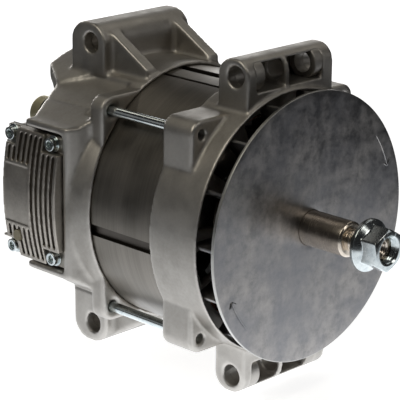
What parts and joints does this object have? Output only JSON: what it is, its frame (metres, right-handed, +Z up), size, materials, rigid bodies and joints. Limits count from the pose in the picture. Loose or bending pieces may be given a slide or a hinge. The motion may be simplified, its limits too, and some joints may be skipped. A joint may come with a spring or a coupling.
{
  "type": "vehicle alternator",
  "caption": "Pad-mounted alternator with an external front fan, hollow mounting lugs, a finned side regulator and a shaft with a flange nut.",
  "frame": {"origin": "on the shaft axis at the front face of the fan, where a pulley seats", "axes": "-Y along the shaft towards the pulley, +Z up through the upper mounting lugs, +X to the right seen from the front"},
  "size_m": [0.1796, 0.2581, 0.2162],
  "materials": {
    "cast_housing": "bead-blasted cast aluminium",
    "stator_steel": "machined lamination stack with an oiled sheen",
    "copper_winding": "varnished copper wire",
    "zinc_steel": "bright zinc plate",
    "fan_cast": "mottled as-cast aluminium",
    "shaft_steel": "ground steel",
    "pole_steel": "forged steel, varnished",
    "bearing_steel": "polished bearing steel",
    "cage_brass": "pressed brass",
    "black_plastic": "moulded glass-filled plastic",
    "ring_copper": "turned copper",
    "carbon": "pressed carbon",
    "spring_steel": "spring wire",
    "sink_aluminium": "plain rolled aluminium",
    "diode_metal": "nickel-plated can",
    "insulator_fibre": "pressed fibre",
    "regulator_cast": "dark coated cast aluminium",
    "gasket_rubber": "soft sheet rubber",
    "plug_resin": "tan sealing resin",
    "terminal_plate": "yellow chromate plate"
  },
  "bodies": {
    "housing": {"drive_end_housing": "cast_housing", "rear_housing": "cast_housing", "stator_core": "stator_steel", "stator_winding": "copper_winding", "through_bolts": "zinc_steel", "through_bolt_washers": "zinc_steel", "front_bearing_outer_race": "bearing_steel", "bearing_retainer": "shaft_steel", "retainer_screws": "zinc_steel", "rear_bearing_outer_race": "bearing_steel", "rear_bearing_cap": "zinc_steel", "positive_heat_sink": "sink_aluminium", "negative_heat_sink": "sink_aluminium", "diodes": "diode_metal", "rectifier_insulators": "insulator_fibre", "rectifier_screws": "zinc_steel", "brush_holder": "black_plastic", "brushes": "carbon", "brush_springs": "spring_steel", "regulator": "regulator_cast", "regulator_gasket": "gasket_rubber", "regulator_screws": "zinc_steel", "regulator_plug": "plug_resin", "output_terminal": "terminal_plate", "output_insulator": "black_plastic", "ground_terminal": "zinc_steel", "tap_terminal": "zinc_steel"},
    "rotor": {"fan": "fan_cast", "fan_spacer": "shaft_steel", "rotor_shaft": "shaft_steel", "pulley_nut": "zinc_steel", "front_claw_pole": "pole_steel", "rear_claw_pole": "pole_steel", "field_coil": "copper_winding", "field_coil_bobbin": "black_plastic", "slip_ring_hub": "black_plastic", "slip_rings": "ring_copper", "front_bearing_inner_race": "bearing_steel", "rear_bearing_inner_race": "bearing_steel"},
    "bearing_cages": {"front_bearing_balls": "bearing_steel", "front_bearing_cage": "cage_brass", "rear_bearing_balls": "bearing_steel", "rear_bearing_cage": "cage_brass"}
  },
  "joints": [
    {"name": "shaft_spin", "type": "hinge", "parent": "housing", "child": "rotor", "pos_m": [0, 0, 0], "axis": [0, 1, 0], "continuous": true},
    {"name": "cage_spin", "type": "hinge", "parent": "housing", "child": "bearing_cages", "pos_m": [0, 0.036, 0], "axis": [0, 1, 0], "continuous": true}
  ],
  "couplings": [
    {"joint": "cage_spin", "follows": "shaft_spin", "ratio": 0.3678}
  ]
}
